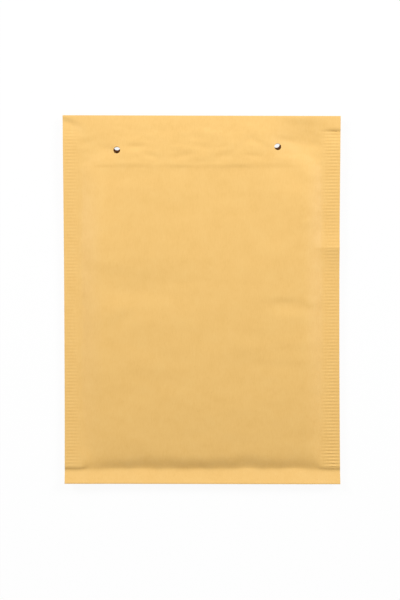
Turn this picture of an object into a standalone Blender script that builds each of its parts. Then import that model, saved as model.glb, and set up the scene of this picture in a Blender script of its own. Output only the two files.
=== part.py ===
"""Bubble mailer, closed and empty, lying on its back with the flap underneath.

One web of kraft paper lined with bubble film is folded at the foot, heat-sealed
down both sides between ribbed jaws, and closed by a flap that folds over the
back and is stuck down. The pocket is sealed, so the whole mailer is one solid.

Metres, +Z up. The front faces up, +Y runs to the flap's fold, and the origin is
under the middle of the mailer, on the surface that it lies on.
"""

import math
from enum import IntEnum

import bmesh
import bpy

# Outline of the sheet, seen from the front
WIDTH = 0.17                     # across the flap's fold
LENGTH = 0.2255                  # fold to foot
WAIST_DRAW_LEFT = 0.00095        # the sides are drawn in by these at half length
WAIST_DRAW_RIGHT = 0.00075
FOOT_DRAW_LEFT = 0.0011          # and by these at the foot
FOOT_DRAW_RIGHT = 0.0004
FOLD_SKEW = 0.0005               # the fold falls by this from left to right
FOOT_SKEW = 0.00035              # and so does the foot

# Heights and thicknesses
PAD_THICKNESS = 0.007            # at the middle of the padded body
SIDE_FALL = 0.0003               # the front's field sinks by this towards each side,
TOP_FALL = 0.0008                # by this towards the film's edge
FOOT_FALL = 0.0024               # and by this towards the foot
SEAM_HEIGHT = 0.003              # middle of the flat seams above the table
MOUTH_LIFT = 0.0012              # the seams rise by this towards the pocket's mouth
LIFT_FROM_FOLD = 0.0928          # from here on
FOLD_HEIGHT = 0.0039             # middle of the front sheet at the flap's fold
SEAM_THICKNESS = 0.0006          # two sheets and their film, pressed together
SHEET_THICKNESS = 0.0004         # one lined sheet, at the lip and in the flap
CLEARANCE = 0.0003               # between the flap and the back
FOLD_RADIUS = 0.00035            # on the outer edges of the flap's fold

# Crimped side seams
SEAM_WIDTH = 0.011
CRIMP_PITCH = 0.002
CRIMP_DEPTH = 0.0004             # crest to trough
CRIMP_FADE = 0.005               # the ribs die out over this, towards the pad
CRIMP_MARGIN = 0.002             # and weaken over this, towards the outer edge
LIP = 0.0087                     # plain sheet between the fold and the pocket's mouth
HEM = 0.0091                     # plain band between the foot and the foot crease
FOOT_CREASE_DEPTH = 0.0006       # of the valley between pad and hem
HEM_LIFT = 0.0019                # the foot's edge stands this far above the valley

# Padded body: how far each side takes to roll over from the seams
SIDE_ROLL = 0.0115
FOOT_ROLL = 0.0115
MOUTH_ROLL = 0.022               # on the back; the front slopes from the film's edge to the fold
SLOPE_START = 0.3                # share of that slope which is there from its start
SHOULDER_SPREAD = 0.032          # the side roll widens by this at the pad's upper corners
SHOULDER_TOP_FROM_FOLD = 0.0138  # and is widest from here up
SHOULDER_LENGTH = 0.024          # over this it widens

# Crease that the bubble film's edge leaves on the front, and the right seam's buckle
FILM_EDGE_FROM_FOLD = 0.0311
FILM_CREASE_DEPTH = 0.0003
FILM_CREASE_INSET = 0.02         # from each side of the mailer to the crease's end
BUCKLE_FROM_FOLD = 0.0811
BUCKLE_HEIGHT = 0.0009
BUCKLE_REACH = 0.018             # up and down the right seam

# Flap, folded over the back
FLAP_DEPTH = 0.05
FLAP_TAPER = 0.004               # each side leans in by this, fold to edge
FLAP_CORNER = 0.01
FLAP_DESCENT = 0.024             # from the fold to where the flap lies flat
GLUE_WIDTH = 0.015
GLUE_LENGTH = 0.12
GLUE_FROM_EDGE = 0.005

# Punched holes, through the pocket and, a little off, through the flap
HOLE_DIAMETER = 0.0041
LEFT_HOLE_FROM_SIDE = 0.0332
LEFT_HOLE_FROM_FOLD = 0.02145
RIGHT_HOLE_FROM_SIDE = 0.0385
RIGHT_HOLE_FROM_FOLD = 0.01945
FLAP_HOLE_RISE_LEFT = 0.00235    # the flap's holes lie nearer to the fold by these
FLAP_HOLE_RISE_RIGHT = 0.0019
FLAP_HOLE_SIDESTEP_RIGHT = 0.0007    # and the right one nearer to the middle

NEAR = 0.00001                   # points closer than this share a row or a column

KRAFT = (0.871, 0.539, 0.184, 1.0)

half_width = WIDTH / 2
half_length = LENGTH / 2
mouth = half_length - LIP
foot_crease = HEM - half_length
pad_side = half_width - SEAM_WIDTH
flap_edge = half_length - FLAP_DEPTH
film_edge = half_length - FILM_EDGE_FROM_FOLD
rib_count = round((mouth - foot_crease) / CRIMP_PITCH)
rib_pitch = (mouth - foot_crease) / rib_count


class Face(IntEnum):
    """Faces of the folded sheet, by their level in the plain block before it is formed."""

    FLAP_OUTSIDE = 0
    FLAP_INSIDE = 1
    BACK = 2
    FRONT = 3


def clamp(value):
    return min(max(value, 0.0), 1.0)


def ease(value):
    """0 to 1 with a level start and end."""
    t = clamp(value)
    return t * t * (3 - 2 * t)


def roll(distance, reach):
    """0 to 1 as a padded edge rises: steep at the seam, level at the top."""
    t = clamp(distance / reach)
    return 1 - (1 - t) ** 2


def foot_roll(y):
    """0 to 1 up from the foot crease: a hollow at the crease, steepest in the lower third."""
    t = clamp((y - foot_crease) / FOOT_ROLL)
    return 1 - (1 - t * t) ** 4


def rib_rows():
    """Rows of the pocket, as whole ribs up from the foot crease, close where it curves."""
    foot_ribs = math.ceil(FOOT_ROLL / rib_pitch) + 1
    top_ribs = math.ceil((SHOULDER_TOP_FROM_FOLD + SHOULDER_LENGTH - LIP) / rib_pitch)
    rows = list(range(0, foot_ribs))
    row = foot_ribs
    while row < rib_count - top_ribs:
        rows.append(row)
        row += 5
    rows += range(rib_count - top_ribs, rib_count, 2)
    crease = round((film_edge - foot_crease) / rib_pitch)
    step = round((flap_edge - foot_crease) / rib_pitch)
    rows += [crease - 1, crease, crease + 1, step - 2, step - 1, step, rib_count]
    return sorted(set(rows))


def pocket_rows():
    """Y of each row of the pocket, foot to fold."""
    ribs = [foot_crease + row * rib_pitch for row in rib_rows()]
    hem = [-half_length, -half_length + HEM / 2]
    return hem + ribs + [mouth + LIP / 2, half_length]


def flap_rows():
    """Y of each row of the flap, fold to edge, close where it bends and at its corners."""
    corner = [flap_edge + FLAP_CORNER * (1 - math.cos(math.radians(a))) for a in (60, 40, 20, 0)]
    plain = flap_edge + FLAP_CORNER
    bend = [half_length - FLAP_DESCENT * part / 5 for part in range(1, 6)]
    return [y for y in bend if y > plain] + [plain] + corner


def columns():
    """X of each column, left to right."""
    seam = [half_width, half_width - CRIMP_MARGIN, pad_side + CRIMP_FADE]
    rise = [pad_side - SIDE_ROLL * part / 6 for part in (0, 1, 2, 3, 4, 6)]
    field = [(pad_side - SIDE_ROLL) * part / 5 for part in (4, 3, 2, 1, 0)]
    right = seam + rise + field
    return [-x for x in right] + right[-2::-1]


def side_draw(x, y):
    """How far the side of the mailer is drawn in at this height, on the side of x."""
    down = (half_length - y) / LENGTH
    at_waist = WAIST_DRAW_RIGHT if x > 0 else WAIST_DRAW_LEFT
    at_foot = FOOT_DRAW_RIGHT if x > 0 else FOOT_DRAW_LEFT
    bow = 4 * at_waist - at_foot
    return bow * down + (at_foot - bow) * down * down


def skew(x, y):
    """Slant of the fold and of the foot, dying out towards the middle."""
    across = x / WIDTH + 0.5
    end = (y / half_length) ** 2
    return -FOLD_SKEW * across * end if y > 0 else FOOT_SKEW * (1 - across) * end


def side_reach(y):
    """Width of the side roll, which spreads at the upper corners and makes the shoulders."""
    up = (y - half_length + SHOULDER_TOP_FROM_FOLD + SHOULDER_LENGTH) / SHOULDER_LENGTH
    return SIDE_ROLL + SHOULDER_SPREAD * ease(up)


def bulge(x, y):
    """How far the pad stands up here, from 0 at its outline to 1 on its field."""
    return roll(pad_side - abs(x), side_reach(y)) * foot_roll(y)


def field_height(x, y):
    """Top of the front's field: slow falls from its middle, and the slope down to the fold."""
    fall = SIDE_FALL * (x / pad_side) ** 2
    if y < film_edge:
        fall += TOP_FALL * clamp(y / film_edge) ** 2 + FOOT_FALL * clamp(y / foot_crease) ** 2
        return PAD_THICKNESS - fall
    start = PAD_THICKNESS - fall - TOP_FALL
    end = FOLD_HEIGHT + SHEET_THICKNESS / 2
    t = (y - film_edge) / FILM_EDGE_FROM_FOLD
    return start + (end - start) * (SLOPE_START * t + (1 - SLOPE_START) * t * t)


def crimp(x, y):
    """Height of the ribs that the sealing jaws press into the side seams."""
    if not foot_crease <= y <= mouth:
        return 0.0
    fade = clamp((abs(x) - pad_side) / CRIMP_FADE)
    margin = 0.5 + 0.5 * clamp((half_width - abs(x)) / CRIMP_MARGIN)
    wave = math.cos(math.tau * (y - foot_crease) / rib_pitch)
    return CRIMP_DEPTH / 2 * fade * margin * wave


def seam_level(x, y):
    """Middle of the flat sheet: its rise to the mouth, the lip, the foot's valley and the buckle."""
    to_mouth = ease((y - half_length + LIFT_FROM_FOLD) / (LIFT_FROM_FOLD - LIP))
    lip = clamp((y - mouth) / LIP)
    level = SEAM_HEIGHT + MOUTH_LIFT * to_mouth + (FOLD_HEIGHT - SEAM_HEIGHT - MOUTH_LIFT) * lip
    ridge = clamp(1 - abs(y - (half_length - BUCKLE_FROM_FOLD)) / BUCKLE_REACH)
    outward = ease((x - pad_side + SIDE_ROLL) / (SEAM_WIDTH + SIDE_ROLL))
    valley = clamp(1 - (y - foot_crease) / rib_pitch)
    hem = clamp((foot_crease - y) / HEM)
    return level + BUCKLE_HEIGHT * ridge ** 2 * outward - FOOT_CREASE_DEPTH * valley + HEM_LIFT * hem


def film_crease(x, y):
    """Thin dent across the front at the edge of the bubble film."""
    near = clamp(1 - abs(y - film_edge) / rib_pitch)
    within = ease((half_width - FILM_CREASE_INSET - abs(x)) / SIDE_ROLL)
    return FILM_CREASE_DEPTH * near * within


def thickness(y):
    """The seams hold two sheets, the lip only one."""
    return SHEET_THICKNESS if y > mouth else SEAM_THICKNESS


def front_height(x, y):
    flat = seam_level(x, y) + thickness(y) / 2
    pad = (field_height(x, y) - flat) * bulge(x, y) - film_crease(x, y)
    return flat + crimp(x, y) + pad


def back_floor(y):
    """What the pad's back lies on: the table, or the flap above its edge."""
    over_flap = SHEET_THICKNESS + CLEARANCE
    return over_flap * ease((y - flap_edge + 2 * rib_pitch) / (2 * rib_pitch))


def back_height(x, y):
    flat = seam_level(x, y) - thickness(y) / 2 + crimp(x, y)
    return flat + (back_floor(y) - flat) * bulge(x, y) * ease((mouth - y) / MOUTH_ROLL)


def flap_height(y):
    """Inner face of the flap: one clearance under the lip at the fold, then down to the table."""
    at_fold = FOLD_HEIGHT - SHEET_THICKNESS / 2 - CLEARANCE
    down = roll(half_length - y, FLAP_DESCENT)
    return at_fold + (SHEET_THICKNESS - at_fold) * down


def flap_width(y):
    """Half width of the flap: leaning sides and round corners."""
    down = (half_length - y) / FLAP_DEPTH
    into_corner = clamp(1 - (y - flap_edge) / FLAP_CORNER)
    round_off = FLAP_CORNER * (1 - math.sqrt(1 - into_corner ** 2))
    return half_width - FLAP_TAPER * down - round_off


def form(point):
    """Carry a point of the plain folded block to its place on the mailer."""
    x, y, level = point
    face = Face(round(level))
    if face in (Face.FLAP_INSIDE, Face.FLAP_OUTSIDE):
        across = x * flap_width(y) / half_width
        z = flap_height(y) - (SHEET_THICKNESS if face == Face.FLAP_OUTSIDE else 0.0)
    else:
        across = x * (1 - side_draw(x, y) / half_width)
        z = front_height(x, y) if face == Face.FRONT else back_height(x, y)
    inside = face in (Face.BACK, Face.FLAP_INSIDE) and y > mouth
    fold_wall = SHEET_THICKNESS * clamp((y - mouth) / LIP) if inside else 0.0
    return across, y + skew(x, y) - fold_wall, z


def folded_section(bm):
    """Ribbon of quads through the pocket, round the fold and down the flap, at the left side."""
    stations = [(y, Face.FRONT, Face.BACK) for y in pocket_rows()]
    stations += [(y, Face.FLAP_OUTSIDE, Face.FLAP_INSIDE) for y in [half_length] + flap_rows()]
    pairs = []
    for y, outer, inner in stations:
        outer_point = bm.verts.new((-half_width, y, outer))
        inner_point = bm.verts.new((-half_width, y, inner))
        pairs.append((outer_point, inner_point))
    for (outer, inner), (next_outer, next_inner) in zip(pairs, pairs[1:]):
        bm.faces.new((outer, inner, next_inner, next_outer))
    return list(bm.faces)


def sweep_across(bm, section):
    """Extrude the section from column to column into one closed block."""
    places = columns()
    for left, right in zip(places, places[1:]):
        grown = bmesh.ops.extrude_face_region(bm, geom=section)["geom"]
        verts = [item for item in grown if isinstance(item, bmesh.types.BMVert)]
        bmesh.ops.translate(bm, verts=verts, vec=(right - left, 0, 0))
        if left > places[0]:
            bmesh.ops.delete(bm, geom=section, context="FACES_ONLY")
        section = [item for item in grown if isinstance(item, bmesh.types.BMFace)]


def cut_ribs(bm):
    """Divide the seams' long edges at every crest and trough."""
    by_ribs = {}
    for edge in bm.edges:
        first, second = edge.verts
        ribs = round(abs(first.co.y - second.co.y) / rib_pitch)
        along = abs(first.co.x - second.co.x) < NEAR and first.co.z == second.co.z
        in_seam = abs(first.co.x) > pad_side - NEAR and first.co.z in (Face.FRONT, Face.BACK)
        above_foot = min(first.co.y, second.co.y) > foot_crease - NEAR
        below_mouth = max(first.co.y, second.co.y) < mouth + NEAR
        if along and in_seam and above_foot and below_mouth and ribs:
            by_ribs.setdefault(ribs, []).append(edge)
    for ribs, edges in sorted(by_ribs.items()):
        bmesh.ops.subdivide_edges(bm, edges=edges, cuts=2 * ribs - 1, use_grid_fill=True)


def fold_edges(bm):
    """The two outer edges of the flap's fold, still to be rounded."""
    edges = []
    for edge in bm.edges:
        levels = {round(vert.co.z) for vert in edge.verts}
        at_fold = all(vert.co.y > half_length - NEAR for vert in edge.verts)
        if at_fold and levels in ({Face.FRONT}, {Face.FLAP_OUTSIDE}):
            edges.append(edge)
    return edges


def mailer_mesh():
    bm = bmesh.new()
    sweep_across(bm, folded_section(bm))
    cut_ribs(bm)
    fold = fold_edges(bm)
    for vert in bm.verts:
        vert.co = form(vert.co)
    bmesh.ops.bevel(bm, geom=fold, offset=FOLD_RADIUS, segments=2, profile=0.5, affect="EDGES")
    bmesh.ops.recalc_face_normals(bm, faces=bm.faces)
    mesh = bpy.data.meshes.new("mailer")
    bm.to_mesh(mesh)
    bm.free()
    return mesh


def kraft_paper():
    material = bpy.data.materials.new("kraft_paper")
    material.use_nodes = True
    shader = material.node_tree.nodes["Principled BSDF"]
    shader.inputs["Base Color"].default_value = KRAFT
    shader.inputs["Roughness"].default_value = 0.75
    shader.inputs["Metallic"].default_value = 0.0
    return material


def add_object(name, mesh):
    item = bpy.data.objects.new(name, mesh)
    bpy.context.scene.collection.objects.link(item)
    return item


def helper(name, mesh):
    """A shape that only cuts or joins, and isn't a piece of the mailer."""
    item = add_object(name, mesh)
    item.hide_render = True
    item.display_type = "WIRE"
    return item


def glue_strip():
    """Adhesive band that closes the gap between the flap and the back."""
    bottom = SHEET_THICKNESS / 2
    top = 1.5 * SHEET_THICKNESS + CLEARANCE
    bm = bmesh.new()
    bmesh.ops.create_cube(bm, size=1.0)
    bmesh.ops.scale(bm, verts=bm.verts, vec=(GLUE_LENGTH, GLUE_WIDTH, top - bottom))
    middle = flap_edge + GLUE_FROM_EDGE + GLUE_WIDTH / 2
    bmesh.ops.translate(bm, verts=bm.verts, vec=(0, middle, (top + bottom) / 2))
    mesh = bpy.data.meshes.new("glue_strip")
    bm.to_mesh(mesh)
    bm.free()
    return helper("glue_strip", mesh)


def drill(bm, x, y, bottom, top):
    """Upright cylinder of the punch between two heights."""
    radius = HOLE_DIAMETER / 2
    made = bmesh.ops.create_cone(bm, cap_ends=True, segments=24, radius1=radius,
                                 radius2=radius, depth=top - bottom)
    bmesh.ops.translate(bm, verts=made["verts"], vec=(x, y, (top + bottom) / 2))


def punch():
    """Cutters of the four holes: two down to the gap over the flap, two on through the flap."""
    left = LEFT_HOLE_FROM_SIDE - half_width, half_length - LEFT_HOLE_FROM_FOLD
    right = half_width - RIGHT_HOLE_FROM_SIDE, half_length - RIGHT_HOLE_FROM_FOLD
    flap_left = left[0], left[1] + FLAP_HOLE_RISE_LEFT
    flap_right = right[0] - FLAP_HOLE_SIDESTEP_RIGHT, right[1] + FLAP_HOLE_RISE_RIGHT
    bm = bmesh.new()
    for (x, y), (flap_x, flap_y) in ((left, flap_left), (right, flap_right)):
        between = (back_height(x, y) + flap_height(y)) / 2
        drill(bm, x, y, between, 2 * PAD_THICKNESS)
        drill(bm, flap_x, flap_y, -PAD_THICKNESS, between - NEAR)
    mesh = bpy.data.meshes.new("punch")
    bm.to_mesh(mesh)
    bm.free()
    return helper("punch", mesh)


def boolean(target, operation, tool):
    modifier = target.modifiers.new(tool.name, "BOOLEAN")
    modifier.operation = operation
    modifier.solver = "EXACT"
    modifier.object = tool


def main():
    for item in list(bpy.data.objects):
        bpy.data.objects.remove(item, do_unlink=True)
    mailer = add_object("mailer", mailer_mesh())
    mailer.data.materials.append(kraft_paper())
    mailer.data.shade_smooth()
    mailer.data.set_sharp_from_angle(angle=math.radians(18))
    boolean(mailer, "UNION", glue_strip())
    boolean(mailer, "DIFFERENCE", punch())


main()
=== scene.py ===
import math

import bmesh
import bpy
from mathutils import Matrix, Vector, noise


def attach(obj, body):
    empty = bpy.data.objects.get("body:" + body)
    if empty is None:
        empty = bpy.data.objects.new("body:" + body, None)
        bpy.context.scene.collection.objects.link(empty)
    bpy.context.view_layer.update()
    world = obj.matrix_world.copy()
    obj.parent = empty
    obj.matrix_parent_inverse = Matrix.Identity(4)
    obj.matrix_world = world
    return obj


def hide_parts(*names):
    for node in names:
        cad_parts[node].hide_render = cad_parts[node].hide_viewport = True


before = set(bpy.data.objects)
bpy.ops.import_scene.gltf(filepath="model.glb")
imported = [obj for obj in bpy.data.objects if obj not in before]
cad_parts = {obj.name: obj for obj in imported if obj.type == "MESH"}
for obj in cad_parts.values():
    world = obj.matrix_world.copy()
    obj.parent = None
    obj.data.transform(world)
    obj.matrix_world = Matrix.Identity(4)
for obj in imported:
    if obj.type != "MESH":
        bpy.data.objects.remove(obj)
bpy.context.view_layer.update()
print("frame loaded")

mm = 0.001      # in metres
near = 0.001    # in millimetres, for points on one line


def linearColour(code):    # sRGB hex to linear, as Blender's sockets want it
    values = [int(code[i:i + 2], 16) / 255 for i in (1, 3, 5)]
    return [v / 12.92 if v <= 0.04045 else ((v + 0.055) / 1.055) ** 2.4 for v in values] + [1.0]


def addNode(tree, kind, settings, inputs):    # inputs: a socket is linked, anything else is set
    item = tree.nodes.new(kind)
    for name, value in settings.items():
        setattr(item, name, value)
    for name, value in inputs.items():
        if isinstance(value, bpy.types.NodeSocket):
            tree.links.new(value, item.inputs[name])
        else:
            item.inputs[name].default_value = value
    return item


def newMaterial(name):
    material = bpy.data.materials.new(name)
    material.use_nodes = True
    return material, material.node_tree, material.node_tree.nodes["Principled BSDF"]


def addObject(name, bm):    # the finished bmesh becomes an object of the scene
    mesh = bpy.data.meshes.new(name)
    bm.to_mesh(mesh)
    bm.free()
    item = bpy.data.objects.new(name, mesh)
    bpy.context.scene.collection.objects.link(item)
    return item


def clamp(value):
    return min(max(value, 0.0), 1.0)


def ease(value):    # 0 to 1, level at both ends
    t = clamp(value)
    return t * t * (3 - 2 * t)


def rollOver(distance, reach):    # 0 to 1, steep at first and level at its end
    return 1 - (1 - clamp(distance / reach)) ** 2


# Sizes in the looks are in millimetres
kraftLook = {
    "base": "#eebf6c",
    "shade": "#e9b964",          # denser patches of fibre
    "light": "#f1c473",
    "fleck": "#b98244",          # bark flecks
    "fleckStrength": 0.16,
    "fleckSpacing": 5.0,
    "fleckSize": (0.03, 0.075),  # core and rim, in shares of the spacing
    "cloudSize": 9.0,            # cloudy formation of the sheet
    "fibreLength": 3.2,
    "fibreWidth": 0.5,           # about ten times a real fibre's width, so that it shows
    "fibreTurns": (14, -63),     # degrees, the two directions in which most fibres lie
    "fibreShare": 0.45,          # of the tone, and the rest is cloud
    "roughness": 0.54, "sheen": 0.78,
    "reliefDepth": 0.03,
    "patternShift": (0.013, 0.027, 0.0),    # metres
}


# Machine-glazed kraft, pressed smooth against a hot cylinder on its outer side: an even,
# warm tan with cloudy formation, fine fibres, a few bark flecks and a dull sheen.
def kraftPaperGlazed():
    look = kraftLook
    material, tree, shader = newMaterial("kraftPaperGlazed")
    place = addNode(tree, "ShaderNodeTexCoord", {}, {})
    shifted = addNode(tree, "ShaderNodeMapping", {}, {
        "Vector": place.outputs["Object"], "Location": look["patternShift"]})
    cloud = addNode(tree, "ShaderNodeTexNoise", {}, {
        "Vector": shifted.outputs["Vector"], "Scale": 1000 / look["cloudSize"],
        "Detail": 4.0, "Roughness": 0.62})
    fibreScale = (1000 / look["fibreWidth"], 1000 / look["fibreLength"], 1000 / look["fibreWidth"])
    layers = []
    for turn in look["fibreTurns"]:
        laid = addNode(tree, "ShaderNodeMapping", {}, {
            "Vector": place.outputs["Object"], "Rotation": (0, 0, math.radians(turn)),
            "Scale": fibreScale})
        layers.append(addNode(tree, "ShaderNodeTexNoise", {}, {
            "Vector": laid.outputs["Vector"], "Scale": 1.0, "Detail": 2.0}))
    fibres = addNode(tree, "ShaderNodeMath", {"operation": "ADD"}, {
        0: layers[0].outputs["Fac"], 1: layers[1].outputs["Fac"]})
    fibreShare = addNode(tree, "ShaderNodeMapRange", {}, {
        "Value": fibres.outputs["Value"], "From Min": 0.7, "From Max": 1.3})
    cloudShare = addNode(tree, "ShaderNodeMapRange", {}, {
        "Value": cloud.outputs["Fac"], "From Min": 0.3, "From Max": 0.7})
    blend = addNode(tree, "ShaderNodeMix", {"data_type": "FLOAT"}, {
        "Factor": look["fibreShare"], "A": cloudShare.outputs["Result"],
        "B": fibreShare.outputs["Result"]})
    tone = addNode(tree, "ShaderNodeValToRGB", {}, {"Fac": blend.outputs["Result"]})
    ramp = tone.color_ramp
    ramp.elements[0].position, ramp.elements[1].position = 0.0, 1.0
    ramp.elements[0].color = linearColour(look["shade"])
    ramp.elements[1].color = linearColour(look["light"])
    middle = ramp.elements.new(0.5)
    middle.color = linearColour(look["base"])
    cells = addNode(tree, "ShaderNodeTexVoronoi", {}, {
        "Vector": shifted.outputs["Vector"], "Scale": 1000 / look["fleckSpacing"]})
    core, rim = look["fleckSize"]
    fleck = addNode(tree, "ShaderNodeMapRange", {}, {
        "Value": cells.outputs["Distance"], "From Min": core, "From Max": rim,
        "To Min": look["fleckStrength"], "To Max": 0.0})
    flecked = addNode(tree, "ShaderNodeMix", {"data_type": "RGBA"}, {
        "Factor": fleck.outputs["Result"], 6: tone.outputs["Color"],
        7: linearColour(look["fleck"])})
    tree.links.new(flecked.outputs[2], shader.inputs["Base Color"])
    gloss = addNode(tree, "ShaderNodeMapRange", {}, {    # dense patches are pressed smoother
        "Value": cloudShare.outputs["Result"], "To Min": look["roughness"] + 0.06,
        "To Max": look["roughness"] - 0.05})
    tree.links.new(gloss.outputs["Result"], shader.inputs["Roughness"])
    shader.inputs["Specular IOR Level"].default_value = look["sheen"]
    relief = addNode(tree, "ShaderNodeMath", {"operation": "MULTIPLY_ADD"}, {
        0: fibreShare.outputs["Result"], 1: 0.35, 2: cloudShare.outputs["Result"]})
    bump = addNode(tree, "ShaderNodeBump", {}, {
        "Height": relief.outputs["Value"], "Strength": 0.35,
        "Distance": look["reliefDepth"] * mm})
    tree.links.new(bump.outputs["Normal"], shader.inputs["Normal"])
    return material


edgeLook = {
    "paper": "#e2b877", "film": "#f3ead6",
    "plyGap": 0.3, "frayLength": 0.8, "frayDepth": 0.15, "reliefDepth": 0.05,
}


# Guillotined edge of two kraft plies with the film pressed between them: raw, matt
# fibres with a pale line of film along the middle.
def cutPlies():
    look = edgeLook
    material, tree, shader = newMaterial("cutPliesOfKraftAndFilm")
    place = addNode(tree, "ShaderNodeTexCoord", {}, {})
    height = addNode(tree, "ShaderNodeSeparateXYZ", {}, {"Vector": place.outputs["Object"]})
    rough = addNode(tree, "ShaderNodeTexNoise", {}, {
        "Vector": place.outputs["Object"], "Scale": 1000 / look["frayLength"], "Detail": 3.0})
    wobble = addNode(tree, "ShaderNodeMath", {"operation": "MULTIPLY_ADD"}, {
        0: rough.outputs["Fac"], 1: look["frayDepth"] * mm, 2: height.outputs["Z"]})
    layer = addNode(tree, "ShaderNodeMath", {"operation": "PINGPONG"}, {
        0: wobble.outputs["Value"], 1: look["plyGap"] * mm / 2})
    share = addNode(tree, "ShaderNodeMapRange", {}, {
        "Value": layer.outputs["Value"], "From Max": look["plyGap"] * mm / 2})
    colour = addNode(tree, "ShaderNodeMix", {"data_type": "RGBA"}, {
        "Factor": share.outputs["Result"], 6: linearColour(look["paper"]),
        7: linearColour(look["film"])})
    tree.links.new(colour.outputs[2], shader.inputs["Base Color"])
    shader.inputs["Roughness"].default_value = 0.85
    bump = addNode(tree, "ShaderNodeBump", {}, {
        "Height": rough.outputs["Fac"], "Strength": 0.5, "Distance": look["reliefDepth"] * mm})
    tree.links.new(bump.outputs["Normal"], shader.inputs["Normal"])
    return material


# Painted shade: both colours are kraft darkened to the shade deep inside a punched hole
boreLookPaintedShade = {"paintedDeepShade": "#84400f", "tornInPaintedShade": "#b26424", "tearSize": 0.6, "reliefDepth": 0.1}


# Wall of a punched hole, torn kraft and squeezed film, with the deep shade inside the hole painted
# into its colour: dark, reddish brown.
def punchedWallPaintedShade():
    look = boreLookPaintedShade
    material, tree, shader = newMaterial("punchedKraftWallPaintedShade")
    place = addNode(tree, "ShaderNodeTexCoord", {}, {})
    tear = addNode(tree, "ShaderNodeTexNoise", {}, {
        "Vector": place.outputs["Object"], "Scale": 1000 / look["tearSize"], "Detail": 3.0})
    colour = addNode(tree, "ShaderNodeMix", {"data_type": "RGBA"}, {
        "Factor": tear.outputs["Fac"], 6: linearColour(look["paintedDeepShade"]),
        7: linearColour(look["tornInPaintedShade"])})
    tree.links.new(colour.outputs[2], shader.inputs["Base Color"])
    shader.inputs["Roughness"].default_value = 0.9
    bump = addNode(tree, "ShaderNodeBump", {}, {
        "Height": tear.outputs["Fac"], "Strength": 0.6, "Distance": look["reliefDepth"] * mm})
    tree.links.new(bump.outputs["Normal"], shader.inputs["Normal"])
    return material


# The mailer is shaped in millimetres, and its finished mesh is scaled to metres.
# x runs along the fold, y from the foot up to the fold, and z up from the table.
mailer = {
    "width": 170.0, "length": 225.5,
    "waistDrawLeft": 0.95, "footDrawLeft": 1.35,         # the left side is drawn in by these
    "waistDrawRight": 0.75, "footDrawRight": 0.25,       # and the right side by these
    "foldSkew": 0.5, "footSkew": 0.35,
    "seamWidth": 11.0, "lip": 8.7, "hem": 9.1,
    "seamThickness": 0.6, "sheetThickness": 0.4, "clearance": 0.3, "foldBevel": 0.14,
    "leastShare": 0.9,                                   # of the sheet, kept under a dent
    "padThickness": 7.0, "padStart": 1.0, "padReach": 7.0,
    "sideFall": 0.3, "topFall": 0.8, "footFall": 2.4,    # the padded field falls off by these
    "slopeStart": 0.3,                                   # how steep it leaves the film's edge
    "sideRollLeft": 14.0, "sideRollRight": 11.5, "sidePower": 1.75,
    "shoulderFrom": 75.0, "shoulderTo": 99.0, "shoulderGrowth": 32.0,
    "footRoll": 5.1, "creaseRoll": 0.8, "footPower": 1.75,
    "mouthRoll": 22.0,                                   # on the back
    "seamHeight": 3.0, "foldHeight": 3.9,
    "mouthLift": 1.2, "mouthLiftFrom": 20.0,
    "footLiftLeft": 1.1, "footLiftRight": 0.2,           # at the corners of the foot
    "footLiftFrom": -50.0, "footLiftReach": 50.0, "cornerFrom": 50.0, "cornerReach": 30.0,
    "footCreaseDepth": 0.8, "footCreaseFade": 0.5,       # valley, and how much the pad fills it
    "hemLift": 2.1, "hemPower": 1.12,                    # the foot's edge above the valley
    "creaseDrop": 0.5, "padCreaseDrop": 0.15, "padCreaseRise": 0.2,
    "footWaves": [(-37.5, 9.0, 0.8), (-20.0, 5.0, 0.7), (28.0, 8.0, 1.0),
                  (43.0, 4.0, 0.5), (58.0, 7.0, 0.8)],   # x, half width, rise
    "footWaveFade": 1.5,
    "buckleFromFold": 81.1, "buckleHeight": 1.25, "buckleReach": 18.0,    # in the right seam
    "buckleInward": 8.0, "buckleWidth": 15.0,
    "ribPitch": 2.0, "rowsPerRib": 4,
    "ribDepthLeft": 0.11, "ribDepthRight": 0.18,
    "ribStart": 1.5, "ribStep": 3.5, "ribStepReach": 2.5,    # from the pad outwards
    "ribShareLeft": 0.1, "ribShareRight": 0.5,           # of the depth, on the seam's inner part
    "ribEdge": 3.2, "ribEdgeShare": 0.15,                # the ribs fade to this at the sides
    "ribGrowthLeft": (0.85, 0.55, 0.5),                  # depth at half length, and what is
    "ribGrowthRight": (0.65, 0.85, 1.7),                 # added to it at the mouth and the foot
    "filmEdgeFromFold": 31.1,
    "filmCreaseDepth": 0.18, "filmCreaseSoft": 1.4, "filmCreaseBack": 14.0,
    "filmCreaseInset": 18.0, "filmCreaseFade": 8.0, "filmCreaseShift": 1.5,
    "puckerBelow": 3.0, "puckerAbove": 1.0, "puckerFade": 5.0,
    "softFromSide": 14.0, "softFromEnd": 10.0, "dentFromEnd": 4.0, "dentFade": 1.6,
    "flapDepth": 50.0, "flapTaper": 4.0, "flapCorner": 10.0, "flapDescent": 24.0,
    "flapStep": 4.0,                                     # how far the back takes to rise over it
    "holeDiameter": 4.1, "holeSides": 40,
    "holes": [(-51.8, 91.3, 0.0, 2.35), (46.5, 93.3, -0.7, 1.9)],    # x, y, shift in the flap
    "punchTop": 12.0, "punchBottom": -3.0, "punchGap": 0.01,
    "hemRows": 8, "lipRows": 8, "flapRows": 20,
    "seamColumns": (0, 1, 2.2, 4, 6, 8.5), "rollColumns": 7, "columnGap": 2.1,
    "sharpAngle": 35,
}

# Unevenness along one line: height, size, seed
wavers = {
    "footLine": [(0.6, 9, 3), (0.4, 4, 17)],
    "footRoll": [(0.22, 12, 7), (0.12, 5, 11)],
    "filmEdge": [(0.8, 17, 21), (0.3, 6, 23)],
    "filmSoft": [(1.2, 13, 25)],
    "filmDepth": [(0.8, 10, 27)],
}

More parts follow.
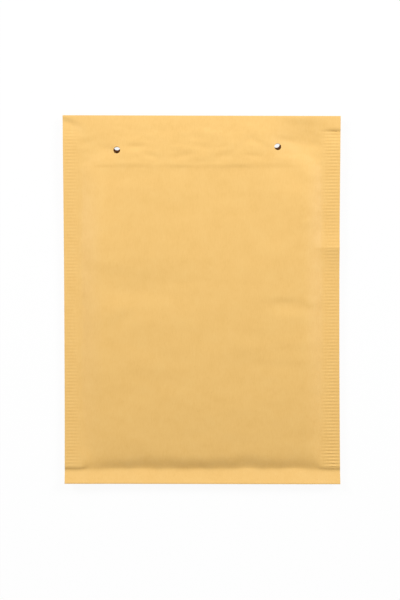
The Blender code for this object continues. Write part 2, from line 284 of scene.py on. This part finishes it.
# Unevenness all over: height, size across, size along, seed
waves = {
    "pad": [(0.18, 34, 20, 1), (0.09, 16, 7, 5)],
    "puckers": [(0.1, 7, 4.5, 9), (0.07, 14, 4, 13), (0.03, 3.5, 2.2, 19)],
    "ribShare": [(0.6, 30, 5, 13)],
    "ribDepth": [(0.35, 9, 11, 11)],
}

# Dents in the front: middle, half length, width above and below it, depth, turn in degrees.
# A negative depth is a bump.
dents = [
    {"at": (0.0, 74.0), "half": 28.0, "above": 14.0, "below": 30.0, "depth": 0.34, "turn": 0},
    {"at": (-63.0, 80.0), "half": 12.0, "above": 14.0, "below": 26.0, "depth": 0.4, "turn": 0},
    {"at": (58.0, 86.0), "half": 14.0, "above": 16.0, "below": 22.0, "depth": 0.6, "turn": 0},
    {"at": (52.5, -2.6), "half": 10.0, "above": 3.0, "below": 7.0, "depth": 0.42, "turn": 0},
    {"at": (64.0, -5.0), "half": 5.0, "above": 2.5, "below": 5.0, "depth": 0.22, "turn": -24},
    {"at": (53.0, -11.0), "half": 9.0, "above": 5.0, "below": 9.0, "depth": -0.16, "turn": 4},
    {"at": (45.0, -41.5), "half": 20.0, "above": 5.0, "below": 7.0, "depth": 0.2, "turn": -3},
    {"at": (-37.5, 6.5), "half": 26.0, "above": 14.0, "below": 9.0, "depth": 0.55, "turn": -2},
    {"at": (-53.0, -7.0), "half": 9.0, "above": 7.0, "below": 5.0, "depth": -0.3, "turn": 20},
    {"at": (-46.0, -11.5), "half": 6.0, "above": 3.5, "below": 5.0, "depth": 0.14, "turn": 35},
    {"at": (64.5, 47.5), "half": 4.0, "above": 1.6, "below": 3.0, "depth": -0.16, "turn": 35},
    {"at": (-80.5, 108.5), "half": 8.0, "above": 1.1, "below": 8.0, "depth": 0.8, "turn": -30},
    {"at": (64.0, 105.8), "half": 14.0, "above": 3.4, "below": 9.0, "depth": 0.5, "turn": -3},
    {"at": (60.0, 96.6), "half": 12.0, "above": 9.0, "below": 8.0, "depth": 0.85, "turn": -5},
    {"at": (81.0, 103.0), "half": 6.5, "above": 1.1, "below": 6.0, "depth": 0.8, "turn": -1},
    {"at": (68.0, 95.0), "half": 8.0, "above": 6.0, "below": 8.0, "depth": 0.34, "turn": -24},
    {"at": (52.0, 97.5), "half": 7.0, "above": 2.4, "below": 2.6, "depth": 0.24, "turn": -8},
    {"at": (-64.0, 84.2), "half": 11.0, "above": 2.8, "below": 6.0, "depth": -0.2, "turn": 27},
    {"at": (64.0, 84.8), "half": 10.0, "above": 3.4, "below": 7.0, "depth": -0.32, "turn": -40},
    {"at": (68.5, 55.0), "half": 20.0, "above": 9.0, "below": 3.2, "depth": -0.38, "turn": 90},
    {"at": (-40.0, 93.6), "half": 7.0, "above": 1.8, "below": 2.6, "depth": 0.32, "turn": 4},
    {"at": (-57.5, 92.2), "half": 6.0, "above": 2.0, "below": 3.0, "depth": 0.36, "turn": -14},
    {"at": (-71.0, 95.5), "half": 4.0, "above": 2.0, "below": 2.0, "depth": 0.14, "turn": 14},
    {"at": (-31.0, 88.0), "half": 5.0, "above": 1.8, "below": 2.0, "depth": 0.26, "turn": -20},
    {"at": (-27.0, 85.0), "half": 4.5, "above": 1.6, "below": 2.0, "depth": 0.18, "turn": 30},
    {"at": (-13.0, 87.6), "half": 5.5, "above": 1.8, "below": 2.0, "depth": 0.26, "turn": 10},
    {"at": (2.0, 93.0), "half": 5.0, "above": 1.8, "below": 2.5, "depth": 0.2, "turn": -12},
    {"at": (14.0, 88.5), "half": 5.0, "above": 1.8, "below": 2.5, "depth": 0.24, "turn": 15},
    {"at": (26.0, 96.0), "half": 7.0, "above": 1.7, "below": 2.4, "depth": 0.3, "turn": 38},
    {"at": (34.5, 96.5), "half": 6.0, "above": 1.6, "below": 2.4, "depth": 0.3, "turn": -30},
    {"at": (13.0, 93.5), "half": 4.0, "above": 1.6, "below": 2.0, "depth": 0.2, "turn": 25},
    {"at": (31.0, 88.0), "half": 6.0, "above": 1.8, "below": 2.0, "depth": 0.24, "turn": -5},
    {"at": (-71.6, -97.5), "half": 5.0, "above": 1.7, "below": 1.7, "depth": -0.28, "turn": 98},
    {"at": (69.8, -94.5), "half": 8.0, "above": 4.5, "below": 1.9, "depth": -0.28, "turn": 92},
]

# Levels of the folded sheet in the plain block, before it is formed
flapOutside, flapInside, backFace, frontFace = 0, 1, 2, 3

halfWidth, halfLength = mailer["width"] / 2, mailer["length"] / 2
mouth = halfLength - mailer["lip"]
footCrease = mailer["hem"] - halfLength
padSide = halfWidth - mailer["seamWidth"]
flapEdge = halfLength - mailer["flapDepth"]
filmEdge = halfLength - mailer["filmEdgeFromFold"]
ribCount = round((mouth - footCrease) / mailer["ribPitch"])
ribPitch = (mouth - footCrease) / ribCount


# Smooth noise from about -1 to 1. The shifts keep it off whole numbers, where it is always 0.
def wave(x, y, sizeX, sizeY, seed):
    return noise.noise(Vector((x / sizeX + 0.37, y / sizeY + 0.43, seed + 0.5)))


def lineWave(name, x, start):
    return sum((height * wave(x, 0, size, 1, seed) for height, size, seed in wavers[name]), start)


def areaWave(name, x, y):
    return sum(height * wave(x, y, across, along, seed)
               for height, across, along, seed in waves[name])


def sideDraw(x, y):
    down = (halfLength - y) / mailer["length"]
    side = "Right" if x > 0 else "Left"
    atFoot = mailer["footDraw" + side]
    bow = 4 * mailer["waistDraw" + side] - atFoot
    return bow * down + (atFoot - bow) * down * down


def skew(x, y):
    share = x / mailer["width"] + 0.5
    end = (y / halfLength) ** 2
    return -mailer["foldSkew"] * share * end if y > 0 else mailer["footSkew"] * (1 - share) * end


def padShare(x):    # 1 across the pad, 0 on the seams
    return ease((padSide + mailer["padStart"] - abs(x)) / mailer["padReach"])


def footLine(x):    # the foot crease wavers under the pad
    line = footCrease - mailer["creaseDrop"] - mailer["padCreaseDrop"] * padShare(x)
    for at, half, rise in mailer["footWaves"]:
        line += rise * (1 - ease(abs(x - at) / (mailer["footWaveFade"] * half)))
    return line + lineWave("footLine", x, mailer["padCreaseRise"]) * padShare(x)


def footRise(x, y):    # the lower roll: soft above, steepest near the crease
    share = padShare(x)
    soft = mailer["footRoll"] * lineWave("footRoll", x, 1)
    reach = mailer["creaseRoll"] + (soft - mailer["creaseRoll"]) * share
    return 1 - math.exp(-(max(0.0, y - footLine(x)) / reach) ** mailer["footPower"])


def bulge(x, y):    # towards the mouth the sheet takes longer to rise, and that makes the shoulders
    up = (y - mailer["shoulderFrom"]) / (mailer["shoulderTo"] - mailer["shoulderFrom"])
    reach = mailer["sideRollRight" if x > 0 else "sideRollLeft"]
    reach += mailer["shoulderGrowth"] * ease(up)
    side = 1 - (1 - clamp((padSide - abs(x)) / reach)) ** mailer["sidePower"]
    return side * footRise(x, y)


def fieldHeight(x, y):    # a slow crown, then down from the film's edge to the fold
    aside = mailer["sideFall"] * (x / padSide) ** 2
    if y < filmEdge:
        fall = mailer["topFall"] * clamp(y / filmEdge) ** 2
        fall += mailer["footFall"] * clamp(y / footCrease) ** 2
        return mailer["padThickness"] - aside - fall
    start = mailer["padThickness"] - aside - mailer["topFall"]
    end = mailer["foldHeight"] + mailer["sheetThickness"] / 2
    t = clamp((y - filmEdge) / mailer["filmEdgeFromFold"])
    return start + (end - start) * (mailer["slopeStart"] * t + (1 - mailer["slopeStart"]) * t * t)


def rib(x, y):
    if not footCrease <= y <= mouth:
        return 0.0
    side = "Right" if x > 0 else "Left"
    depth = mailer["ribDepth" + side]
    outward = abs(x) - padSide
    inner = clamp(mailer["ribShare" + side] + areaWave("ribShare", x, y))
    inner *= ease(outward / mailer["ribStart"])
    outer = ease((outward - mailer["ribStep"]) / mailer["ribStepReach"])
    edgeShare = mailer["ribEdgeShare"]
    margin = edgeShare + (1 - edgeShare) * clamp((halfWidth - abs(x)) / mailer["ribEdge"])
    middle, toMouth, toFoot = mailer["ribGrowth" + side]
    uneven = middle + (toMouth if y > 0 else toFoot) * (y / halfLength) ** 2
    uneven += areaWave("ribDepth", x, y)
    pressed = (inner + (1 - inner) * outer) * margin * uneven
    return depth / 2 * pressed * math.cos(math.tau * (y - footCrease) / ribPitch)


def seamLevel(x, y):
    lip = clamp((y - mouth) / mailer["lip"])
    ridgeAt = halfLength - mailer["buckleFromFold"]
    ridge = (1 - clamp(abs(y - ridgeAt) / mailer["buckleReach"])) ** 2
    outward = clamp((x - padSide + mailer["buckleInward"]) / mailer["buckleWidth"])
    liftFrom = mailer["mouthLiftFrom"]
    level = mailer["seamHeight"] + mailer["mouthLift"] * ease((y - liftFrom) / (mouth - liftFrom))
    level += (mailer["foldHeight"] - mailer["seamHeight"] - mailer["mouthLift"]) * lip
    footLift = mailer["footLiftRight" if x > 0 else "footLiftLeft"]
    down = clamp((mailer["footLiftFrom"] - y) / mailer["footLiftReach"])
    level += footLift * down ** 2 * ease((abs(x) - mailer["cornerFrom"]) / mailer["cornerReach"])
    level += mailer["buckleHeight"] * ridge * outward
    hem = clamp((footLine(x) - y) / mailer["hem"])
    valley = mailer["footCreaseDepth"] * (1 - mailer["footCreaseFade"] * padShare(x))
    return level - valley * (1 - footRise(x, y)) + mailer["hemLift"] * hem ** mailer["hemPower"]


def filmCrease(x, y):    # a small step down at the film's edge, made good over the next stretch
    reach = halfWidth - mailer["filmCreaseInset"]
    within = ease((reach - abs(x + mailer["filmCreaseShift"])) / mailer["filmCreaseFade"])
    at = lineWave("filmEdge", x, filmEdge)
    soft = lineWave("filmSoft", x, mailer["filmCreaseSoft"])
    step = ease((at + soft - y) / (2 * soft)) * (1 - ease((at - 2 - y) / mailer["filmCreaseBack"]))
    return mailer["filmCreaseDepth"] * lineWave("filmDepth", x, 1) * within * step


def wrinkles(x, y):
    total = 0.0
    for dent in dents:
        turn = math.radians(dent["turn"])
        right, up = x - dent["at"][0], y - dent["at"][1]
        along = right * math.cos(turn) + up * math.sin(turn)
        over = up * math.cos(turn) - right * math.sin(turn)
        width = dent["above"] if over > 0 else dent["below"]
        reach = abs(along) / (mailer["dentFade"] * dent["half"])
        if reach < 1:
            total -= dent["depth"] * math.exp(-(over / width) ** 2) * (1 - ease(reach))
    return total


def softness(x, y):    # a slow unevenness, and puckers between the film's edge and the mouth
    fade = mailer["puckerFade"]
    puckerBand = ease((y - filmEdge + mailer["puckerBelow"]) / fade)
    puckerBand *= 1 - ease((y - mouth - mailer["puckerAbove"]) / fade)
    return areaWave("pad", x, y) + puckerBand * areaWave("puckers", x, y)


def sheetThickness(y):
    single = ease((y - mouth) / mailer["lip"])
    return mailer["seamThickness"] + (mailer["sheetThickness"] - mailer["seamThickness"]) * single


def frontHeight(x, y):
    flat = seamLevel(x, y) + sheetThickness(y) / 2
    pad = (fieldHeight(x, y) - flat) * bulge(x, y) - filmCrease(x, y)
    fromSide, fromEnd = halfWidth - abs(x), halfLength - abs(y)
    inside = ease(fromSide / mailer["softFromSide"]) * ease(fromEnd / mailer["softFromEnd"])
    pad += wrinkles(x, y) * ease(fromEnd / mailer["dentFromEnd"]) + softness(x, y) * inside
    return flat + rib(x, y) + pad


def backFloor(y):
    over = mailer["sheetThickness"] + mailer["clearance"]
    return over * ease((y - flapEdge + mailer["flapStep"]) / mailer["flapStep"])


def backHeight(x, y):    # gives way where a dent of the front comes down on it
    flat = seamLevel(x, y) - sheetThickness(y) / 2 + rib(x, y)
    back = flat + (backFloor(y) - flat) * bulge(x, y) * ease((mouth - y) / mailer["mouthRoll"])
    return min(back, frontHeight(x, y) - mailer["leastShare"] * sheetThickness(y))


def flapHeight(y):
    atFold = mailer["foldHeight"] - mailer["sheetThickness"] / 2 - mailer["clearance"]
    lowered = rollOver(halfLength - y, mailer["flapDescent"])
    return atFold + (mailer["sheetThickness"] - atFold) * lowered


def flapWidth(y):
    down = (halfLength - y) / mailer["flapDepth"]
    corner = mailer["flapCorner"]
    c = clamp(1 - (y - flapEdge) / corner)
    return halfWidth - mailer["flapTaper"] * down - corner * (1 - math.sqrt(1 - c * c))


def formed(point):    # from the plain folded block to the mailer's own shape
    x, y, level = point
    level = round(level)
    if level in (flapInside, flapOutside):
        across = x * flapWidth(y) / halfWidth
        z = flapHeight(y) - (mailer["sheetThickness"] if level == flapOutside else 0.0)
    else:
        across = x * (1 - sideDraw(x, y) / halfWidth)
        z = frontHeight(x, y) if level == frontFace else backHeight(x, y)
    inside = level in (backFace, flapInside) and y > mouth
    foldWall = mailer["sheetThickness"] * clamp((y - mouth) / mailer["lip"]) if inside else 0.0
    return across, y + skew(x, y) - foldWall, z


def rows():    # foot to fold, then fold to flap edge
    step = ribPitch / mailer["rowsPerRib"]
    hemRows, lipRows, flapRows = mailer["hemRows"], mailer["lipRows"], mailer["flapRows"]
    hem = [-halfLength + mailer["hem"] * i / hemRows for i in range(hemRows)]
    ribs = [footCrease + step * i for i in range(ribCount * mailer["rowsPerRib"] + 1)]
    lip = [mouth + mailer["lip"] * i / lipRows for i in range(1, lipRows + 1)]
    pocket = [(y, frontFace, backFace) for y in hem + ribs + lip]
    corner = [flapEdge + mailer["flapCorner"] * (1 - math.cos(math.radians(turn)))
              for turn in range(90, -1, -10)]
    straight = mailer["flapDepth"] - mailer["flapCorner"]
    flap = [halfLength - straight * i / flapRows for i in range(flapRows)] + corner
    return pocket + [(y, flapOutside, flapInside) for y in flap]


def columns():
    seam = [halfWidth - inset for inset in (*mailer["seamColumns"], mailer["seamWidth"])]
    rollCount = mailer["rollColumns"]
    rolled = [padSide - mailer["sideRollRight"] * i / rollCount for i in range(1, rollCount + 1)]
    inner = rolled[-1]
    count = round(inner / mailer["columnGap"])
    right = seam + rolled + [inner * i / count for i in range(count - 1, -1, -1)]
    return [-x for x in right] + right[-2::-1]


def foldedBlock():    # the section grows edge by edge, and is then extruded from side to side
    bm = bmesh.new()
    stations = rows()
    y, outer, inner = stations[0]
    ends = [bm.verts.new((-halfWidth, y, outer)), bm.verts.new((-halfWidth, y, inner))]
    edge = bm.edges.new(ends)
    for y, outer, inner in stations[1:]:
        grown = bmesh.ops.extrude_edge_only(bm, edges=[edge])["geom"]
        verts = [item for item in grown if isinstance(item, bmesh.types.BMVert)]
        verts.sort(key=lambda v: v.co.z)
        if outer > inner or verts[0].co.z >= backFace:    # at the fold the outer face turns under
            verts.reverse()
        verts[0].co = (-halfWidth, y, outer)
        verts[1].co = (-halfWidth, y, inner)
        edges = [item for item in grown if isinstance(item, bmesh.types.BMEdge)]
        edge = next(e for e in edges if set(e.verts) == set(verts))
    section = list(bm.faces)
    for face in section:
        face.material_index = 1
    places = columns()
    for left, right in zip(places, places[1:]):
        grown = bmesh.ops.extrude_face_region(bm, geom=section)["geom"]
        verts = [item for item in grown if isinstance(item, bmesh.types.BMVert)]
        bmesh.ops.translate(bm, verts=verts, vec=(right - left, 0, 0))
        if left > places[0]:
            bmesh.ops.delete(bm, geom=section, context="FACES_ONLY")
        section = [item for item in grown if isinstance(item, bmesh.types.BMFace)]
    caps = set(section) | {f for f in bm.faces if all(v.co.x < near - halfWidth for v in f.verts)}
    for face in bm.faces:
        levels = {round(v.co.z) for v in face.verts}
        onFlap = levels == {flapOutside, flapInside}
        atFlapEnd = onFlap and all(v.co.y < flapEdge + near for v in face.verts)
        face.material_index = 1 if face in caps or atFlapEnd else 0
    return bm


def foldEdges(bm):    # outer edges of the flap's fold and of the foot's fold
    found = []
    for edge in bm.edges:
        levels = {round(v.co.z) for v in edge.verts}
        atFold = all(v.co.y > halfLength - near for v in edge.verts)
        atFoot = all(v.co.y < near - halfLength for v in edge.verts)
        if atFold and levels in ({frontFace}, {flapOutside}):
            found.append(edge)
        elif atFoot and levels in ({frontFace}, {backFace}):
            found.append(edge)
    return found


def holeCutter(material):    # one pin through the pocket and one through the flap, a little aside
    bm = bmesh.new()
    radius = mailer["holeDiameter"] / 2
    for x, y, shiftX, shiftY in mailer["holes"]:
        gap = (backHeight(x, y) + flapHeight(y)) / 2
        pins = ((gap, mailer["punchTop"], x, y),
                (mailer["punchBottom"], gap - mailer["punchGap"], x + shiftX, y + shiftY))
        for bottom, top, atX, atY in pins:
            made = bmesh.ops.create_cone(bm, cap_ends=True, segments=mailer["holeSides"],
                                         radius1=radius, radius2=radius, depth=top - bottom)
            bmesh.ops.translate(bm, verts=made["verts"], vec=(atX, atY, (top + bottom) / 2))
    bmesh.ops.scale(bm, verts=bm.verts, vec=(mm, mm, mm))
    cutter = addObject("punch", bm)
    cutter.data.materials.append(material)
    return cutter


glueBand = {
    "width": 15.0, "length": 120.0, "fromFlapEdge": 5.0,
    "sunk": 0.05,          # into the sheet on either side
    "corner": 0.1,
    "milky": "#e8d6a4", "clear": "#f2e8cc", "ropeSize": 1.5, "reliefDepth": 0.05,
}


# Strip of rubbery hot-melt adhesive, milky amber and slightly shiny, seen only at its edges.
def hotMeltAdhesive():
    material, tree, shader = newMaterial("hotMeltAdhesive")
    place = addNode(tree, "ShaderNodeTexCoord", {}, {})
    ropes = addNode(tree, "ShaderNodeTexNoise", {}, {
        "Vector": place.outputs["Object"], "Scale": 1000 / glueBand["ropeSize"], "Detail": 2.0})
    colour = addNode(tree, "ShaderNodeMix", {"data_type": "RGBA"}, {
        "Factor": ropes.outputs["Fac"], 6: linearColour(glueBand["milky"]),
        7: linearColour(glueBand["clear"])})
    tree.links.new(colour.outputs[2], shader.inputs["Base Color"])
    shader.inputs["Roughness"].default_value = 0.3
    shader.inputs["Subsurface Weight"].default_value = 0.2
    shader.inputs["Subsurface Scale"].default_value = 1.0 * mm
    bump = addNode(tree, "ShaderNodeBump", {}, {
        "Height": ropes.outputs["Fac"], "Strength": 0.4,
        "Distance": glueBand["reliefDepth"] * mm})
    tree.links.new(bump.outputs["Normal"], shader.inputs["Normal"])
    return material


def flapGlue():    # joins the flap's inner face to the mailer's back
    bottom = mailer["sheetThickness"] - glueBand["sunk"]
    top = mailer["sheetThickness"] + mailer["clearance"] + glueBand["sunk"]
    bm = bmesh.new()
    bmesh.ops.create_cube(bm, size=1.0)
    bmesh.ops.scale(bm, verts=bm.verts, vec=(glueBand["length"], glueBand["width"], top - bottom))
    bmesh.ops.bevel(bm, geom=bm.edges, offset=glueBand["corner"], segments=2, profile=0.5,
                    affect="EDGES", material=-1)
    middle = flapEdge + glueBand["fromFlapEdge"] + glueBand["width"] / 2
    bmesh.ops.translate(bm, verts=bm.verts, vec=(0, middle, (top + bottom) / 2))
    bmesh.ops.scale(bm, verts=bm.verts, vec=(mm, mm, mm))
    band = addObject("glueBand", bm)
    band.data.materials.append(hotMeltAdhesive())
    return band


def mailerShell():
    bm = foldedBlock()
    folds = foldEdges(bm)
    for vert in bm.verts:
        vert.co = formed(vert.co)
    bmesh.ops.bevel(bm, geom=folds, offset=mailer["foldBevel"], segments=3, profile=0.5,
                    affect="EDGES", material=-1)
    bmesh.ops.recalc_face_normals(bm, faces=bm.faces)
    bmesh.ops.scale(bm, verts=bm.verts, vec=(mm, mm, mm))
    shell = addObject("mailerShell", bm)
    # the punched holes' walls get the material with painted shade
    wallInPaintedShade = punchedWallPaintedShade()
    for material in (kraftPaperGlazed(), cutPlies(), wallInPaintedShade):
        shell.data.materials.append(material)
    cutter = holeCutter(wallInPaintedShade)
    cut = shell.modifiers.new("holes", "BOOLEAN")
    cut.operation = "DIFFERENCE"
    cut.solver = "EXACT"
    cut.material_mode = "TRANSFER"
    cut.object = cutter
    punched = shell.evaluated_get(bpy.context.evaluated_depsgraph_get())
    solid = bpy.data.meshes.new_from_object(punched)
    shell.modifiers.clear()
    shell.data = solid
    bpy.data.objects.remove(cutter, do_unlink=True)
    shell.data.shade_smooth()
    shell.data.set_sharp_from_angle(angle=math.radians(mailer["sharpAngle"]))
    return shell


shell = mailerShell()
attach(shell, "root")
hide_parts("mailer")
shell.data.calc_loop_triangles()
print("mailer made:", len(shell.data.loop_triangles), "triangles")

band = flapGlue()
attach(band, "root")
print("glue band made")

# Floor, lamps and camera, in metres and watts
studio = {
    "floorSize": 3.0, "floorTone": 0.93,
    "floorDrop": 0.0002,                        # clear of the mailer's underside
    "floorWhite": 0.94,                         # share of plain white that the camera sees
    "rightAt": (0.88, 0.62, 0.69), "leftAt": (-0.83, 0.64, 0.71),
    "lampSize": 0.5, "rightPower": 11.8, "leftPower": 10.9,
    "worldLight": 0.275,
    "cameraAt": (-0.001, -0.00022, 1.0225), "lens": 100.0,
}


def seenDirectly(tree):    # 1 for what the camera, a mirror or glass sees
    path = addNode(tree, "ShaderNodeLightPath", {}, {})
    either = addNode(tree, "ShaderNodeMath", {"operation": "MAXIMUM"}, {
        0: path.outputs["Is Camera Ray"], 1: path.outputs["Is Glossy Ray"]})
    return addNode(tree, "ShaderNodeMath", {"operation": "MAXIMUM"}, {
        0: either.outputs["Value"], 1: path.outputs["Is Transmission Ray"]}).outputs["Value"]


def paleFloor():
    bm = bmesh.new()
    bmesh.ops.create_grid(bm, x_segments=1, y_segments=1, size=studio["floorSize"])
    floor = addObject("floor", bm)
    floor.location.z = -studio["floorDrop"]
    material = bpy.data.materials.new("paleFloor")
    material.use_nodes = True
    tree = material.node_tree
    tree.nodes.clear()
    tone = studio["floorTone"]
    matt = addNode(tree, "ShaderNodeBsdfDiffuse", {}, {"Color": (tone, tone, tone, 1)})
    white = addNode(tree, "ShaderNodeEmission", {}, {"Color": (1, 1, 1, 1), "Strength": 1.0})
    share = addNode(tree, "ShaderNodeMath", {"operation": "MULTIPLY"}, {
        0: seenDirectly(tree), 1: studio["floorWhite"]})
    mixed = addNode(tree, "ShaderNodeMixShader", {}, {
        0: share.outputs["Value"], 1: matt.outputs["BSDF"], 2: white.outputs["Emission"]})
    addNode(tree, "ShaderNodeOutputMaterial", {}, {"Surface": mixed.outputs["Shader"]})
    floor.data.materials.append(material)
    return floor


def softLamp(side):
    lamp = bpy.data.lights.new(side + "Lamp", "AREA")
    lamp.shape = "DISK"
    lamp.size = studio["lampSize"]
    lamp.energy = studio[side + "Power"]
    holder = bpy.data.objects.new(side + "Lamp", lamp)
    bpy.context.scene.collection.objects.link(holder)
    holder.location = studio[side + "At"]
    holder.rotation_euler = (-Vector(studio[side + "At"])).to_track_quat("-Z", "Y").to_euler()


def paleWorld():    # plain white to the eye, a weak fill light to everything else
    world = bpy.data.worlds.new("paleStudio")
    bpy.context.scene.world = world
    world.use_nodes = True
    tree = world.node_tree
    tree.nodes.clear()
    light = addNode(tree, "ShaderNodeBackground", {}, {
        "Color": (1, 1, 1, 1), "Strength": studio["worldLight"]})
    white = addNode(tree, "ShaderNodeBackground", {}, {"Color": (1, 1, 1, 1), "Strength": 1.0})
    path = addNode(tree, "ShaderNodeLightPath", {}, {})
    mixed = addNode(tree, "ShaderNodeMixShader", {}, {
        0: path.outputs["Is Camera Ray"], 1: light.outputs["Background"],
        2: white.outputs["Background"]})
    addNode(tree, "ShaderNodeOutputWorld", {}, {"Surface": mixed.outputs["Shader"]})


def topCamera():
    data = bpy.data.cameras.new("topCamera")
    data.lens = studio["lens"]
    camera = bpy.data.objects.new("topCamera", data)
    bpy.context.scene.collection.objects.link(camera)
    camera.location = studio["cameraAt"]
    bpy.context.scene.camera = camera


paleFloor()
softLamp("right")
softLamp("left")
paleWorld()
topCamera()
bpy.context.scene.view_settings.view_transform = "Standard"
print("studio ready")
